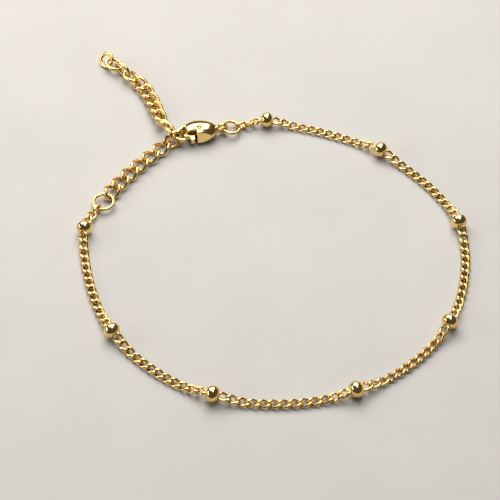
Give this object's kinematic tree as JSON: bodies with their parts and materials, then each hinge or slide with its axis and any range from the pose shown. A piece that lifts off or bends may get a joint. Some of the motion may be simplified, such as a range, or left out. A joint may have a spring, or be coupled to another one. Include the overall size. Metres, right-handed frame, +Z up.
{
  "type": "bracelet",
  "caption": "Gold-coloured bracelet of fine curb chain with evenly spaced round beads, a lobster clasp and a curb extender chain ending in a ring, lying fastened in a loop.",
  "frame": {"origin": "on the surface that the bracelet lies on, under the middle of its bounding box", "axes": "+Z up from the surface, +Y from the near side of the loop towards the free tail, +X to the right"},
  "size_m": [0.0612, 0.0716, 0.0031],
  "materials": {
    "bead_gold": "high polish",
    "chain_gold": "polished",
    "link_gold": "polished",
    "clasp_gold": "cast and polished",
    "rivet_gold": "polished, darker in its seat"
  },
  "bodies": {
    "bracelet": {"bead_1": "bead_gold", "bead_2": "bead_gold", "bead_3": "bead_gold", "bead_4": "bead_gold", "bead_5": "bead_gold", "bead_6": "bead_gold", "bead_7": "bead_gold", "bead_8": "bead_gold", "chain_1": "chain_gold", "chain_2": "chain_gold", "chain_3": "chain_gold", "chain_4": "chain_gold", "chain_5": "chain_gold", "chain_6": "chain_gold", "chain_7": "chain_gold", "chain_start": "chain_gold", "chain_end": "chain_gold", "extender_link_1": "link_gold", "extender_link_2": "link_gold", "extender_link_3": "link_gold", "extender_link_4": "link_gold", "extender_link_5": "link_gold", "extender_link_6": "link_gold", "extender_link_7": "link_gold", "tail_link_1": "link_gold", "tail_link_2": "link_gold", "tail_link_3": "link_gold", "tail_link_4": "link_gold", "tail_link_5": "link_gold", "tail_link_6": "link_gold", "tail_link_7": "link_gold", "tail_link_8": "link_gold", "tail_link_9": "link_gold", "tail_link_10": "link_gold", "extender_ring": "link_gold", "clasp_ring": "link_gold", "tail_ring": "link_gold", "clasp_body": "clasp_gold", "clasp_rivet": "rivet_gold"},
    "lever": {"clasp_lever": "clasp_gold"}
  },
  "joints": [
    {"name": "lever_hinge", "type": "hinge", "parent": "bracelet", "child": "lever", "pos_m": [-0.01175, 0.01721, 0.00133], "axis": [0, 0, -1], "range_deg": [0, 18], "stiffness_Nm_per_rad": 0.004}
  ]
}
